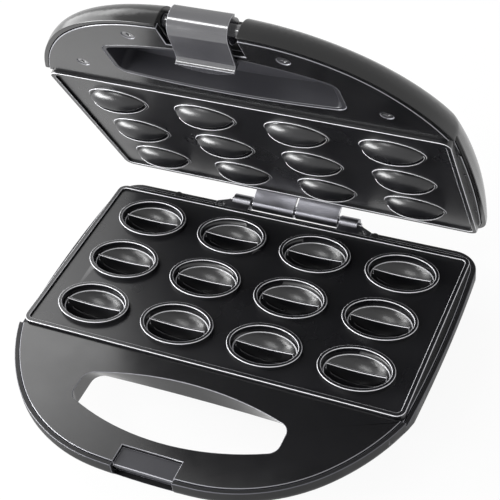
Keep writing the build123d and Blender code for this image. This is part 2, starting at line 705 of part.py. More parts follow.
# Lid shell
bay_half = NOTCH_HALF + WALL
with BuildPart() as shell_ribs:
    add(posts(deck_screw_points, BOSS_RADIUS, PLATE_BACK, DOME_TOP))
    add(block((-bay_half, -GRIP_FRONT, PLATE_BACK), (bay_half, -NOTCH_REAR + WALL, DOME_TOP)))
    add(posts(lid_hinge_points, BOSS_RADIUS, FRAME_BACK, HINGE_BOSS_DEPTH))
    add(dome(WALL / 2), mode=Mode.INTERSECT)
with BuildPart() as upper_shell:
    add(dome())
    add(dome(WALL), mode=Mode.SUBTRACT)
    add(shell_ribs.part)
    add(slab(rear_side, GRIP_RIM, SIDE_RIM), mode=Mode.SUBTRACT)
    add(slab(notch, 0, DOME_TOP), mode=Mode.SUBTRACT)
    add(posts(deck_screw_points, SCREW_HOLE, PLATE_BACK, deck_screw_tip), mode=Mode.SUBTRACT)
    add(posts(lid_hinge_points, SCREW_HOLE, FRAME_BACK, HINGE_SCREW_TIP), mode=Mode.SUBTRACT)
    add(posts(lens_points, LENS_RADIUS + PRESS_FIT, CUP_DEPTH, DOME_TOP), mode=Mode.SUBTRACT)
    pin_span = [(-LATCH_PIN_HALF, LATCH_PIN_HALF)]
    add(rods(LATCH_PIN_RADIUS + PRESS_FIT, pin_span, -LATCH_Y, LATCH_HEIGHT), mode=Mode.SUBTRACT)
with BuildPart() as upper_deck_screws:
    add(screws(deck_screw_points, deck_screw_face, deck_screw_tip))

# Indicator lenses with their lamps
lens_drop = DOME_RADIUS - (DOME_RADIUS**2 - LENS_Y**2 - (LENS_SPACING / 2) ** 2) ** 0.5
lens_top = DOME_TOP - lens_drop + LENS_PROUD
lens_foot = lens_top - LENS_PROUD - WALL - LENS_FLANGE
with BuildPart() as power_lens:
    add(lens(lens_points[0], lens_foot, lens_top))
with BuildPart() as ready_lens:
    add(lens(lens_points[1], lens_foot, lens_top))
with BuildPart() as indicator_lamps:
    add(posts(lens_points, LAMP_RADIUS, lens_foot - LAMP_LENGTH, lens_foot))

# Base housing
with BuildPart() as lower_housing:
    add(tub())
    add(tray())
    add(tub(WALL), mode=Mode.SUBTRACT)
    add(tray(WALL), mode=Mode.SUBTRACT)
    add(posts(base_hinge_points, BOSS_RADIUS, FRAME_BACK, HINGE_BOSS_DEPTH))
    foot_hole = hole_outline(LOWER_HOLE_FOOT, -HOLE_WALL - FIT_GAP)
    add(slab(foot_hole, DECK_FACE, TRAY_DEPTH), mode=Mode.SUBTRACT)
    window = ((-CATCH_HALF, -BIG, 0), (CATCH_HALF, -CATCH_BACKING, CATCH_WINDOW))
    add(block(*window), mode=Mode.SUBTRACT)
    notch_half = KNUCKLE_END + HINGE_CLEARANCE
    hinge_room = ((-notch_half, HINGE_NOTCH_REAR, 0), (notch_half, BIG, HINGE_NOTCH_DEPTH))
    add(block(*hinge_room), mode=Mode.SUBTRACT)
    add(posts(base_hinge_points, SCREW_HOLE, FRAME_BACK, HINGE_SCREW_TIP), mode=Mode.SUBTRACT)
    add(posts(deck_screw_points, SCREW_HOLE, TRAY_FLOOR, TRAY_DEPTH), mode=Mode.SUBTRACT)
    add(posts(deck_screw_points, screw_seat, TRAY_DEPTH - SCREW_HEAD, TRAY_DEPTH), mode=Mode.SUBTRACT)
    add(posts(foot_points, FOOT_RADIUS + FIT_GAP, TUB_DEPTH - FOOT_SINK, TUB_DEPTH), mode=Mode.SUBTRACT)
    with BuildSketch(Plane(origin=(GROMMET_X, 0, GROMMET_DEPTH), x_dir=(1, 0, 0), z_dir=(0, 1, 0))):
        Circle(GROMMET_NECK + PRESS_FIT)
    extrude(amount=BIG, mode=Mode.SUBTRACT)
with BuildPart() as base_screws:
    add(screws(deck_screw_points, TRAY_DEPTH, base_screw_tip))
with BuildPart() as rubber_feet:
    add(posts(foot_points, FOOT_RADIUS, TUB_DEPTH - FOOT_SINK, TUB_DEPTH - FOOT_SINK + FOOT_HEIGHT))
    fillet(rubber_feet.edges().group_by(Axis.Z)[-1], radius=FOOT_EDGE)
with BuildPart() as cord_grommet:
    back_disc = (-GROMMET_BACK - WALL, -WALL, GROMMET_RADIUS)
    neck = (-WALL, 0, GROMMET_NECK)
    front_disc = (0, GROMMET_PROUD, GROMMET_RADIUS)
    spans = (back_disc, neck, front_disc)
    for start, end, radius in spans:
        with BuildSketch(Plane(origin=(GROMMET_X, REAR_Y + start, GROMMET_DEPTH), x_dir=(1, 0, 0), z_dir=(0, 1, 0))):
            Circle(radius)
            Circle(GROMMET_BORE, mode=Mode.SUBTRACT)
        extrude(amount=end - start)

# Catch in the base's grip
with BuildPart() as latch_catch:
    half = CATCH_HALF - FIT_GAP
    add(block((-half, -CATCH_FRONT, CATCH_FACE), (half, -CATCH_REAR - FIT_GAP, TRAY_FLOOR)))
    undercut = CATCH_FRONT - LEDGE_UNDERCUT
    add(block((-half, -CATCH_FRONT, LEDGE_DEPTH), (half, -undercut, TRAY_FLOOR)), mode=Mode.SUBTRACT)

# Electrical parts in the base
with BuildPart() as thermostat:
    add(posts([(0, 0)], THERMOSTAT_RADIUS, PLATE_BACK, PLATE_BACK + THERMOSTAT_HEIGHT))
    add(posts([(0, 0)], THERMOSTAT_CAP, PLATE_BACK, PLATE_BACK + THERMOSTAT_HEIGHT + THERMOSTAT_STEM))
with BuildPart() as thermal_fuse:
    fuse_start = (PLATE_SCREW_X, -FUSE_LENGTH / 2, PLATE_BACK + FUSE_RADIUS)
    with BuildSketch(Plane(origin=fuse_start, x_dir=(1, 0, 0), z_dir=(0, 1, 0))):
        Circle(FUSE_RADIUS)
    extrude(amount=FUSE_LENGTH)
terminal_top = TUB_FLOOR - TERMINAL_SIZE[2]
terminal_pitch = TERMINAL_SIZE[0] / TERMINAL_POLES
terminal_points = [(TERMINAL_PLACE[0] + terminal_pitch * (i - 1), TERMINAL_PLACE[1]) for i in range(TERMINAL_POLES)]
with BuildPart() as terminal_block:
    with Locations((TERMINAL_PLACE[0], TERMINAL_PLACE[1], TUB_FLOOR - TERMINAL_SIZE[2] / 2)):
        Box(*TERMINAL_SIZE)
    bores = TERMINAL_SCREW_RADIUS + PRESS_FIT
    add(posts(terminal_points, bores, terminal_top, terminal_top + TERMINAL_SCREW_LENGTH), mode=Mode.SUBTRACT)
with BuildPart() as terminal_screws:
    sunk = terminal_top + SCREW_SINK
    add(posts(terminal_points, TERMINAL_SCREW_RADIUS, sunk, terminal_top + TERMINAL_SCREW_LENGTH))

# Hinge
with BuildPart() as hinge_bracket_left:
    add(hinge_bracket(1, base_hinge_points))
with BuildPart() as hinge_bracket_right:
    add(hinge_bracket(-1, base_hinge_points))
with BuildPart() as hinge_pin:
    add(rods(PIN_RADIUS, [(-PIN_END, PIN_END)], HINGE_Y, HINGE_DEPTH))
leaf_face = PLATE_BACK - LEAF_THICKNESS
hinge_head = leaf_face - HINGE_SCREW_HEAD
hinge_heads = (hinge_head, HINGE_SCREW_TIP, HINGE_SCREW_HEAD_RADIUS, HINGE_SCREW_HEAD)
with BuildPart() as base_hinge_screws:
    add(screws(base_hinge_points, *hinge_heads))
with BuildPart() as lid_hinge_screws:
    add(screws(lid_hinge_points, *hinge_heads))
with BuildPart() as lid_hinge_bracket:
    barrels = [(side * BARREL_START, side * BARREL_END) for side in (1, -1)]
    add(block((-BARREL_END, LEAF_FRONT, leaf_face), (BARREL_END, WEB_REAR, PLATE_BACK)))
    for start, end in barrels:
        low, high = sorted((start, end))
        add(block((low, WEB_FRONT, -HINGE_DEPTH), (high, WEB_REAR, PLATE_BACK)))
    add(rods(BARREL_RADIUS, barrels, HINGE_Y, -HINGE_DEPTH))
    add(rods(PIN_RADIUS + RUNNING_FIT, barrels, HINGE_Y, -HINGE_DEPTH), mode=Mode.SUBTRACT)
    add(posts(lid_hinge_points, SCREW_HOLE, 0, PLATE_BACK), mode=Mode.SUBTRACT)
with BuildPart() as rear_stops:
    add(posts(stop_points, STOP_RADIUS, PLATE_BACK - STOP_HEIGHT, PLATE_BACK))
    fillet(rear_stops.edges().group_by(Axis.Z)[0], radius=STOP_ROUNDING)
    add(posts(stop_points, STOP_STEM, PLATE_BACK, FRAME_BACK))

# Latch and its pin
latch_inner = LATCH_BARREL - LATCH_PLATE
latch_end = LATCH_LENGTH + LIP_FLARE + LIP_LENGTH
lip_out = LATCH_BARREL + LIP_FLARE
tooth_start = LATCH_LENGTH + TOOTH_START
tooth_end = tooth_start + TOOTH_HEIGHT
latch_half = LATCH_WIDTH / 2

with BuildPart() as latch:
    with BuildSketch(latch_plane(-latch_half)):
        with BuildLine():
            cover = CenterArc((0, 0), LATCH_BARREL, LATCH_COVER_START, -LATCH_COVER_START)
            face = Line(cover @ 1, (LATCH_BARREL, LATCH_LENGTH))
            flare = TangentArc(face @ 1, (lip_out, LATCH_LENGTH + LIP_FLARE), tangent=face % 1)
            back = Polyline(
                flare @ 1,
                (lip_out, latch_end),
                (lip_out - LIP_THICKNESS, latch_end),
                (lip_out - LIP_THICKNESS, tooth_end + LIP_THICKNESS),
                (latch_inner, tooth_end),
                (latch_inner - TOOTH_REACH, tooth_end),
                (latch_inner - TOOTH_REACH, tooth_start),
                (latch_inner, tooth_start),
                (latch_inner, 0),
            )
            under = CenterArc((0, 0), latch_inner, 0, LATCH_COVER_START)
            Line(under @ 1, cover @ 0)
        make_face()
    extrude(amount=LATCH_WIDTH)
    with BuildSketch(Plane(origin=(0, -LATCH_Y, LATCH_HEIGHT), x_dir=(1, 0, 0), z_dir=LATCH_OUT)):
        with BuildLine():
            bow = ThreePointArc((-latch_half, LIP_BOW - latch_end), (0, -latch_end), (latch_half, LIP_BOW - latch_end))
            Polyline(bow @ 1, (latch_half, BIG), (-latch_half, BIG), bow @ 0)
        make_face()
    extrude(amount=BIG, both=True, mode=Mode.INTERSECT)
    for start in (-latch_half, latch_half - LATCH_CHEEK):
        with BuildSketch(latch_plane(start)):
            Circle(latch_inner + PRESS_FIT)
        extrude(amount=LATCH_CHEEK)
    add(rods(LATCH_HUB_RADIUS, [(-LATCH_HUB_HALF, LATCH_HUB_HALF)], -LATCH_Y, LATCH_HEIGHT))
    hub_bore = [(-LATCH_HUB_HALF, LATCH_HUB_HALF)]
    add(rods(LATCH_PIN_RADIUS + RUNNING_FIT, hub_bore, -LATCH_Y, LATCH_HEIGHT), mode=Mode.SUBTRACT)
with BuildPart() as latch_pin:
    add(rods(LATCH_PIN_RADIUS, pin_span, -LATCH_Y, LATCH_HEIGHT))

# Put the two halves together as they stand: base upside up, lid swung open about the hinge pin
base_pose = Location((0, 0, 0), (0, 180, 0))
hinge_line = Location((0, HINGE_Y, -HINGE_DEPTH))
lid_pose = hinge_line * Location((0, 0, 0), (-LID_OPEN, 0, 0)) * hinge_line.inverse()
base_pieces = {
    "lower_housing": lower_housing,
    "lower_deck": lower_deck,
    "lower_plate": lower_plate,
    "lower_heater": lower_heater,
    "lower_heat_shield": lower_heat_shield,
    "lower_plate_screws": lower_plate_screws,
    "thermostat": thermostat,
    "thermal_fuse": thermal_fuse,
    "terminal_block": terminal_block,
    "terminal_screws": terminal_screws,
    "latch_catch": latch_catch,
    "base_screws": base_screws,
    "rubber_feet": rubber_feet,
    "cord_grommet": cord_grommet,
    "hinge_bracket_left": hinge_bracket_left,
    "hinge_bracket_right": hinge_bracket_right,
    "hinge_pin": hinge_pin,
    "base_hinge_screws": base_hinge_screws,
    "rear_stops": rear_stops,
}
lid_pieces = {
    "upper_shell": upper_shell,
    "upper_deck": upper_deck,
    "upper_grip_cup": upper_grip_cup,
    "upper_plate": upper_plate,
    "upper_heater": upper_heater,
    "upper_heat_shield": upper_heat_shield,
    "upper_plate_screws": upper_plate_screws,
    "upper_deck_screws": upper_deck_screws,
    "lid_hinge_bracket": lid_hinge_bracket,
    "lid_hinge_screws": lid_hinge_screws,
    "power_lens": power_lens,
    "ready_lens": ready_lens,
    "indicator_lamps": indicator_lamps,
    "latch": latch,
    "latch_pin": latch_pin,
}
placed = {name: piece.part.moved(base_pose) for name, piece in base_pieces.items()}
placed.update({name: piece.part.moved(lid_pose) for name, piece in lid_pieces.items()})
boxes = [piece.bounding_box() for piece in placed.values()]
rearmost = max(box.max.Y for box in boxes)
foremost = min(box.min.Y for box in boxes)
lowest = min(box.min.Z for box in boxes)
stand = Location((0, -(rearmost + foremost) / 2, -lowest))
os.makedirs("parts", exist_ok=True)
for name, builder in (base_pieces | lid_pieces).items():
    builder.part = placed[name].moved(stand)
    builder.part.label = name
    export_step(builder.part, f"parts/{name}.step")
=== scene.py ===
"""Scene of a hinged mould iron for walnut-shaped cookies: finishes, smoothed skins and studio."""
import logging
from dataclasses import dataclass
from enum import Enum
from math import cos, radians, sin
from typing import ClassVar

import bmesh
import bpy
from mathutils import Matrix, Vector


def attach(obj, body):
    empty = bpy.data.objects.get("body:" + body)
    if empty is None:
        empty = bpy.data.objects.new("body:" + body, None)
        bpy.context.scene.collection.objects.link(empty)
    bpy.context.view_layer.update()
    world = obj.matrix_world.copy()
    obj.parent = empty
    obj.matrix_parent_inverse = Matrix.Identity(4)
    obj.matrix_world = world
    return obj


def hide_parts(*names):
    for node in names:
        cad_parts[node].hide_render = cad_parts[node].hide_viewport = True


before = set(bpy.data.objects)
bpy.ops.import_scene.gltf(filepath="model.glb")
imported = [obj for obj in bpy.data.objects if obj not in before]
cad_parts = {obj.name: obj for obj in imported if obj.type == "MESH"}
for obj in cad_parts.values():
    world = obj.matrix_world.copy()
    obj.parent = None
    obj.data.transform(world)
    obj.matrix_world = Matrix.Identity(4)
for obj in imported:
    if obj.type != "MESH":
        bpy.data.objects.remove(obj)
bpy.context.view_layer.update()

LOG = logging.getLogger("mould_iron")
MILLIMETRE = 0.001
# Face attribute that is 1 on the rounded edges, where a finish shows the lighter colour of its
# painted highlight.
EDGE_HIGHLIGHT_ATTRIBUTE = "painted_edge_highlight"
# Sockets of the mix node go by number, because several of them share a name.
MIX_SHARE, MIX_VALUE_A, MIX_VALUE_B, MIX_COLOUR_A, MIX_COLOUR_B = 0, 2, 3, 6, 7
MIXED_VALUE, MIXED_COLOUR = 0, 2

Rgba = tuple[float, float, float, float]
Place = tuple[float, float, float]
WHITE: Rgba = (1, 1, 1, 1)


class Pattern(Enum):
    """How a surface was made, which decides its fine relief."""

    POLISHED = "polished mould, no grain"
    SPARK_GRAIN = "spark-eroded mould, fine even grain"
    SPRAYED = "sprayed coating, fine orange peel"
    DRAWN = "drawn or rolled metal, long fine lines"
    MOULDED = "moulded rubber or ceramic, soft mottling"


def linear(hex_colour: str) -> Rgba:
    """Turn an sRGB hex colour into linear light.

    Args:
        hex_colour: Six hex digits, such as "1a1a1c".

    Returns:
        Red, green, blue and alpha in linear light.
    """
    knee, slope, offset, power = 0.04045, 12.92, 0.055, 2.4
    channels = [int(hex_colour[i : i + 2], 16) / 255 for i in (0, 2, 4)]
    bent = [
        c / slope if c <= knee else ((c + offset) / (1 + offset)) ** power for c in channels
    ]
    return (bent[0], bent[1], bent[2], 1.0)


def fresh_tree(owner: bpy.types.Material | bpy.types.World) -> bpy.types.NodeTree:
    """Give a material or a world an empty node tree.

    Args:
        owner: The material or world.

    Returns:
        Its node tree.
    """
    owner.use_nodes = True
    owner.node_tree.nodes.clear()
    return owner.node_tree


def add_node(
    tree: bpy.types.NodeTree,
    kind: str,
    settings: dict | None = None,
    links: dict | None = None,
) -> bpy.types.Node:
    """Add a node with its settings and its incoming links.

    Args:
        tree: The node tree that gets the node.
        kind: The node's type name.
        settings: Attributes, input names or input numbers with their values.
        links: Input names or numbers with the sockets that feed them.

    Returns:
        The new node.
    """
    node = tree.nodes.new(kind)
    for name, value in (settings or {}).items():
        if isinstance(name, int) or name in node.inputs:
            node.inputs[name].default_value = value
        else:
            setattr(node, name, value)
    for name, socket in (links or {}).items():
        tree.links.new(socket, node.inputs[name])
    return node


def ray_is(tree: bpy.types.NodeTree, kinds: tuple[str, ...]) -> bpy.types.NodeSocket:
    """Tell in a node tree whether a ray is of one of some kinds.

    Args:
        tree: The node tree.
        kinds: Names of the light path's outputs.

    Returns:
        A socket that is 1 for a ray of these kinds and 0 for any other.
    """
    paths = add_node(tree, "ShaderNodeLightPath").outputs
    found = paths[kinds[0]]
    for kind in kinds[1:]:
        either = add_node(
            tree, "ShaderNodeMath", {"operation": "MAXIMUM"}, {0: found, 1: paths[kind]}
        )
        found = either.outputs[0]
    return found


@dataclass(frozen=True)
class Finish:
    """A real surface finish.

    Attributes:
        name: The material's common name.
        slot: The record's material slot; not used.
        colour: sRGB hex of the surface.
        roughness: Microscopic roughness of the shader.
        pattern: How the surface was made.
        grain_mm: Size of the grain, peel or line spacing.
        depth_mm: Height of the relief.
        metallic: 1 for bare metal.
        ior: Index of refraction.
        unevenness: How much the roughness wanders over the surface.
        transmission: Share of light that passes through.
        glow: Strength of light given off.
        edge_highlight: sRGB hex of a highlight painted on the rounded edges, or empty for none.
        edge_highlight_roughness: Roughness of those edges.
        LINE_SHARE: How much slower the pattern of drawn metal changes along its lines.
        PATCH_GRAINS: Width in grains of the patches over which the roughness wanders.
        NOISE_RANGE: Values of the noise between which the roughness goes from low to high.
        LEAST_ROUGHNESS: Roughness that no patch goes below.
        DARKER: Colour of the grain's low spots, as a share of the surface's.
    """

    name: str
    slot: str
    colour: str
    roughness: float
    pattern: Pattern
    grain_mm: float
    depth_mm: float
    metallic: float = 0.0
    ior: float = 1.5
    unevenness: float = 0.05
    transmission: float = 0.0
    glow: float = 0.0
    edge_highlight: str = ""
    edge_highlight_roughness: float = 0.2

    LINE_SHARE: ClassVar[float] = 0.04
    PATCH_GRAINS: ClassVar[float] = 45
    NOISE_RANGE: ClassVar[tuple[float, float]] = (0.3, 0.7)
    LEAST_ROUGHNESS: ClassVar[float] = 0.02
    DARKER: ClassVar[float] = 0.88

    def grain(
        self, tree: bpy.types.NodeTree, place: bpy.types.NodeSocket
    ) -> bpy.types.NodeSocket:
        """Add the fine grain.

        Args:
            tree: The material's node tree.
            place: Object coordinates.

        Returns:
            The grain's height.
        """
        if self.pattern is Pattern.DRAWN:
            lines = {"Scale": (self.LINE_SHARE, 1.0, 1.0)}
            place = add_node(tree, "ShaderNodeMapping", lines, {"Vector": place}).outputs["Vector"]
        noise = add_node(
            tree,
            "ShaderNodeTexNoise",
            {"Scale": 1 / (self.grain_mm * MILLIMETRE), "Detail": 3.0, "Roughness": 0.6},
            {"Vector": place},
        )
        return noise.outputs["Fac"]

    def tint(self, tree: bpy.types.NodeTree, grain: bpy.types.NodeSocket) -> bpy.types.NodeSocket:
        """Colour the surface, a little darker in the grain's low spots.

        Args:
            tree: The material's node tree.
            grain: The grain's height.

        Returns:
            The colour.
        """
        base = linear(self.colour)
        darker = tuple(c * self.DARKER for c in base[:3]) + (1.0,)
        mix = add_node(tree, "ShaderNodeMix", {"data_type": "RGBA"}, {MIX_SHARE: grain})
        mix.inputs[MIX_COLOUR_A].default_value = darker
        mix.inputs[MIX_COLOUR_B].default_value = base
        return mix.outputs[MIXED_COLOUR]

    def wander(self, tree: bpy.types.NodeTree, place: bpy.types.NodeSocket) -> bpy.types.NodeSocket:
        """Let the roughness wander over the surface in broad patches.

        Args:
            tree: The material's node tree.
            place: Object coordinates.

        Returns:
            The roughness.
        """
        patches = add_node(
            tree,
            "ShaderNodeTexNoise",
            {"Scale": 1 / (self.grain_mm * self.PATCH_GRAINS * MILLIMETRE), "Detail": 2.0},
            {"Vector": place},
        )
        spread = add_node(
            tree,
            "ShaderNodeMapRange",
            {
                "From Min": self.NOISE_RANGE[0],
                "From Max": self.NOISE_RANGE[1],
                "To Min": max(self.roughness - self.unevenness, self.LEAST_ROUGHNESS),
                "To Max": self.roughness + self.unevenness,
            },
            {"Value": patches.outputs["Fac"]},
        )
        return spread.outputs["Result"]

    def paint_edge_highlight(
        self,
        tree: bpy.types.NodeTree,
        colour: bpy.types.NodeSocket,
        roughness: bpy.types.NodeSocket,
    ) -> tuple[bpy.types.NodeSocket, bpy.types.NodeSocket]:
        """Paint a highlight on the rounded edges that the attribute marks, and make them smoother.

        Args:
            tree: The material's node tree.
            colour: The surface's colour.
            roughness: The surface's roughness.

        Returns:
            The colour and the roughness with the painted edge highlights in them.
        """
        mark = add_node(tree, "ShaderNodeAttribute", {"attribute_name": EDGE_HIGHLIGHT_ATTRIBUTE}).outputs["Fac"]
        bright = add_node(
            tree, "ShaderNodeMix", {"data_type": "RGBA"}, {MIX_SHARE: mark, MIX_COLOUR_A: colour}
        )
        bright.inputs[MIX_COLOUR_B].default_value = linear(self.edge_highlight)
        smooth = add_node(
            tree,
            "ShaderNodeMix",
            {MIX_VALUE_B: self.edge_highlight_roughness},
            {MIX_SHARE: mark, MIX_VALUE_A: roughness},
        )
        return bright.outputs[MIXED_COLOUR], smooth.outputs[MIXED_VALUE]

    def build(self) -> bpy.types.Material:
        """Make the procedural material, once.

        Returns:
            The material.
        """
        known = bpy.data.materials.get(self.name)
        if known:
            return known
        material = bpy.data.materials.new(self.name)
        tree = fresh_tree(material)
        place = add_node(tree, "ShaderNodeTexCoord").outputs["Object"]
        grain = self.grain(tree, place)
        colour, roughness = self.tint(tree, grain), self.wander(tree, place)
        # Marked edges get a painted highlight: a lighter colour that stands in for the light they
        # catch.
        if self.edge_highlight:
            colour, roughness = self.paint_edge_highlight(tree, colour, roughness)
        links = {"Base Color": colour, "Roughness": roughness}
        if self.depth_mm:
            relief = add_node(
                tree,
                "ShaderNodeBump",
                {"Strength": 1.0, "Distance": self.depth_mm * MILLIMETRE},
                {"Height": grain},
            )
            links["Normal"] = relief.outputs["Normal"]
        shader = add_node(
            tree,
            "ShaderNodeBsdfPrincipled",
            {
                "Metallic": self.metallic,
                "IOR": self.ior,
                "Transmission Weight": self.transmission,
                "Emission Color": linear(self.colour),
                "Emission Strength": self.glow,
            },
            links,
        )
        add_node(tree, "ShaderNodeOutputMaterial", links={"Surface": shader.outputs["BSDF"]})
        return material


# High-gloss ABS from a polished mould: deep black with clear, soft-edged reflections.
GLOSS_ABS = Finish(
    "gloss_black_abs", "gloss_black", "070708", 0.2, Pattern.POLISHED, 1.5, 0.0, unevenness=0.02
)
# PBT from a spark-eroded mould: black with a satin grain that spreads reflections softly, and a
# grey painted highlight on its rounded edges.
SATIN_PBT = Finish(
    "satin_black_pbt", "satin_black", "101012", 0.2, Pattern.SPARK_GRAIN, 0.35, 0.003,
    ior=1.7, unevenness=0.03, edge_highlight="7c7c82",
)
# The cup is moulded in the same plastic without gloss; its colour is painted lighter than the
# deck's, as painted light for the light it catches.
CUP_PBT = Finish(
    "cup_black_pbt", "satin_black", "2c2c31", 0.42, Pattern.SPARK_GRAIN, 0.35, 0.004, ior=1.6
)
# The tub is moulded in the same plastic with a matt grain, so it stays black under the deck; its
# rounded edges get a dim painted highlight.
MATT_PBT = Finish(
    "matt_black_pbt", "satin_black", "0e0e10", 0.5, Pattern.SPARK_GRAIN, 0.4, 0.008,
    ior=1.4, edge_highlight="56565c",
)
# Sprayed PTFE coating on cast aluminium: near black, fine orange peel, with a bright painted
# highlight along its rounded edges.
PTFE_COATING = Finish(
    "sprayed_ptfe_coating", "nonstick", "121215", 0.3, Pattern.SPRAYED, 0.6, 0.012,
    ior=1.6, unevenness=0.04, edge_highlight="d4d4d8",
)
# Mineral-filled nylon: the latch's lighter grey with a soft shine, and a painted highlight on its
# rounded edges.
GREY_NYLON = Finish(
    "grey_nylon", "latch_grey", "2e2e33", 0.2, Pattern.SPARK_GRAIN, 0.3, 0.002,
    ior=2.2, edge_highlight="88888e",
)
# The same nylon, matt, in the recess where the latch closes, with a painted highlight on its
# rounded edges.
CATCH_NYLON = Finish(
    "matt_grey_nylon", "catch_grey", "2e2e33", 0.4, Pattern.SPARK_GRAIN, 0.3, 0.003,
    edge_highlight="a0a0a6",
)
# Nickel-plated steel barrels with a satin surface and a painted highlight along their rounded
# edges.
NICKEL_STEEL = Finish(
    "nickel_plated_steel", "barrel_steel", "86868c", 0.36, Pattern.DRAWN, 0.3, 0.003,
    metallic=1.0, edge_highlight="e8e8ec",
)
# Zinc-plated pressed steel of the hinge brackets.
ZINC_BRACKET = Finish(
    "zinc_plated_bracket", "bracket_grey", "8b8b90", 0.36, Pattern.DRAWN, 0.4, 0.003, metallic=1.0
)
# Drawn steel wire of the pins.
WIRE_STEEL = Finish(
    "drawn_steel_wire", "pin_steel", "a8a8ac", 0.25, Pattern.DRAWN, 0.3, 0.002, metallic=1.0
)
# Zinc-plated steel of the screws.
ZINC_SCREW = Finish(
    "zinc_plated_screw", "zinc_screw", "9a9a9c", 0.3, Pattern.DRAWN, 0.3, 0.002, metallic=1.0
)
# Steel sheath of the tubular heaters, dulled by heat.
HEATER_SHEATH = Finish(
    "heat_dulled_steel", "heater_tube", "6f6c66", 0.45, Pattern.DRAWN, 0.5, 0.004, metallic=1.0
)
# Aluminised steel sheet of the heat shields.
ALUMINISED = Finish(
    "aluminised_steel_sheet", "shield_sheet", "b4b4b0", 0.35, Pattern.DRAWN, 0.6, 0.003,
    metallic=1.0,
)
# Drawn aluminium can of the thermostat.
THERMOSTAT_CAN = Finish(
    "drawn_aluminium_can", "thermostat_can", "c0beb8", 0.3, Pattern.DRAWN, 0.4, 0.002,
    metallic=1.0,
)
# White glazed ceramic sleeve of the thermal fuse.
CERAMIC = Finish("white_ceramic", "ceramic", "e6e2d6", 0.25, Pattern.MOULDED, 1.0, 0.002)
# Pale thermoset of the terminal block.
THERMOSET = Finish("pale_thermoset", "terminal_body", "d8d2c0", 0.5, Pattern.MOULDED, 0.8, 0.004)
# Plain brass of the terminal screws.
BRASS = Finish(
    "plain_brass", "terminal_brass", "c8a255", 0.3, Pattern.DRAWN, 0.3, 0.002, metallic=1.0
)
# Moulded rubber of the feet, stops and grommet: matt, faintly mottled.
RUBBER = Finish("moulded_black_rubber", "black_rubber", "161617", 0.65, Pattern.MOULDED, 0.5, 0.008)
# Coloured polycarbonate of the two indicator lenses, faintly lit.
RED_LENS = Finish(
    "red_polycarbonate", "red_lens", "b3150f", 0.08, Pattern.POLISHED, 1.0, 0.0,
    ior=1.58, glow=0.05,
)
GREEN_LENS = Finish(
    "green_polycarbonate", "green_lens", "1f8f3a", 0.08, Pattern.POLISHED, 1.0, 0.0,
    ior=1.58, glow=0.05,
)
# Glass of the small lamps behind the lenses.
LAMP_GLASS = Finish(
    "lamp_glass", "lamp_glass", "f2e9d8", 0.05, Pattern.POLISHED, 1.0, 0.0, transmission=0.8
)


def select_only(piece: bpy.types.Object) -> None:
    """Deselect everything, then select one piece and make it active.

    Args:
        piece: The piece.
    """
    bpy.ops.object.select_all(action="DESELECT")
    piece.select_set(True)
    bpy.context.view_layer.objects.active = piece


